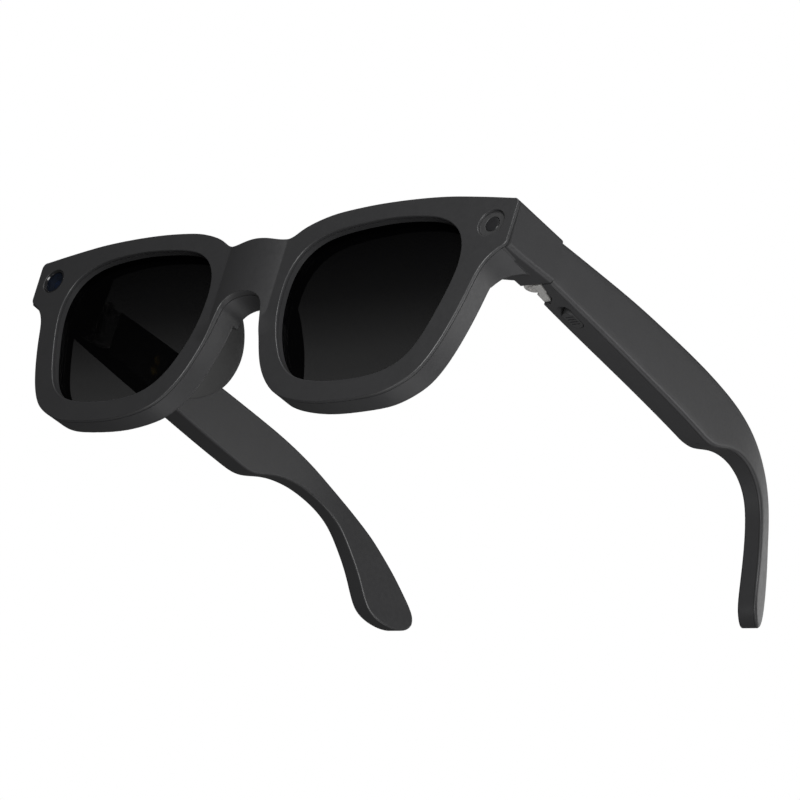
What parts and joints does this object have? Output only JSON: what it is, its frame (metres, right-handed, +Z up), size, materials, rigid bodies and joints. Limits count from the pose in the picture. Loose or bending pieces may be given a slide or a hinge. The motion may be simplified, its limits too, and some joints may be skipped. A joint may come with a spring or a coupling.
{
  "type": "smart glasses",
  "caption": "Camera smart glasses with a thick matte black front, tinted lenses, clip-on nose pads, folding temples that hold the electronics, a slide switch and a capture button",
  "frame": {"origin": "middle of the bounding box on the surface that the open glasses stand on, touched by the two rims and the two ear tips", "axes": "+X towards the wearer's left, +Y from the front back along the open temples, +Z up"},
  "size_m": [0.1538, 0.1558, 0.0517],
  "materials": {
    "bezel_plastic": "fine matte moulded, near black",
    "frame_plastic": "fine matte moulded, near black",
    "nose_pad": "soft matte, near black",
    "tinted_lens": "grey gradient tint, polished",
    "camera_glass": "coated optical glass",
    "camera_trim": "polished black ring",
    "camera_barrel": "matte black barrel",
    "circuit_board": "solder mask green",
    "indicator_trim": "matte black recess",
    "indicator_window": "smoked translucent disc",
    "hinge_metal": "satin nickel plated",
    "flex_circuit": "amber polyimide",
    "temple_plastic": "fine matte moulded, near black",
    "cover_plastic": "fine matte moulded, near black",
    "battery_can": "foil pouch",
    "speaker_case": "matte black",
    "speaker_mesh": "black coated woven mesh",
    "switch_plastic": "matte black",
    "microphone_can": "stamped can",
    "contact_gold": "gold flashed pads",
    "slider_plastic": "ribbed matte, near black",
    "button_plastic": "fine matte, near black"
  },
  "bodies": {
    "front": {"front_bezel": "bezel_plastic", "rear_frame": "frame_plastic", "front_flex_cable": "flex_circuit", "lens_left": "tinted_lens", "lens_right": "tinted_lens", "nose_pad_left": "nose_pad", "nose_pad_right": "nose_pad", "camera_ring": "camera_trim", "camera_window": "camera_glass", "camera_module": "camera_barrel", "camera_objective": "camera_glass", "camera_board": "circuit_board", "indicator_surround": "indicator_trim", "indicator_window": "indicator_window", "indicator_board": "circuit_board", "hinge_front_leaf_left": "hinge_metal", "hinge_front_leaf_right": "hinge_metal", "hinge_pin_left": "hinge_metal", "hinge_pin_right": "hinge_metal", "hinge_screws_front": "hinge_metal"},
    "temple_left": {"temple_housing_left": "temple_plastic", "temple_cover_left": "cover_plastic", "hinge_temple_leaf_left": "hinge_metal", "hinge_screws_left": "hinge_metal", "power_switch_body": "switch_plastic", "battery_left": "battery_can", "temple_board_left": "circuit_board", "speaker_left": "speaker_case", "speaker_mesh_left": "speaker_mesh", "microphone_left": "microphone_can"},
    "temple_right": {"temple_housing_right": "temple_plastic", "temple_cover_right": "cover_plastic", "hinge_temple_leaf_right": "hinge_metal", "hinge_screws_right": "hinge_metal", "capture_switch": "switch_plastic", "charging_contacts": "contact_gold", "battery_right": "battery_can", "temple_board_right": "circuit_board", "speaker_right": "speaker_case", "speaker_mesh_right": "speaker_mesh"},
    "power_slider": {"power_switch_slider": "slider_plastic"},
    "capture_key": {"capture_button": "button_plastic"}
  },
  "joints": [
    {"name": "temple_left_fold", "type": "hinge", "parent": "front", "child": "temple_left", "pos_m": [0.0679, -0.05521, 0.04009], "axis": [0, 0.0858, 0.9963], "range_deg": [0, 80]},
    {"name": "temple_right_fold", "type": "hinge", "parent": "front", "child": "temple_right", "pos_m": [-0.0679, -0.05521, 0.04009], "axis": [0, -0.0858, -0.9963], "range_deg": [0, 90]},
    {"name": "power_switch_slide", "type": "slide", "parent": "temple_left", "child": "power_slider", "axis": [0, -0.9963, 0.0858], "range_m": [0, 0.0022]},
    {"name": "capture_button_press", "type": "slide", "parent": "temple_right", "child": "capture_key", "axis": [0, -0.0858, -0.9963], "range_m": [0, 0.00035], "stiffness_N_per_m": 300}
  ]
}
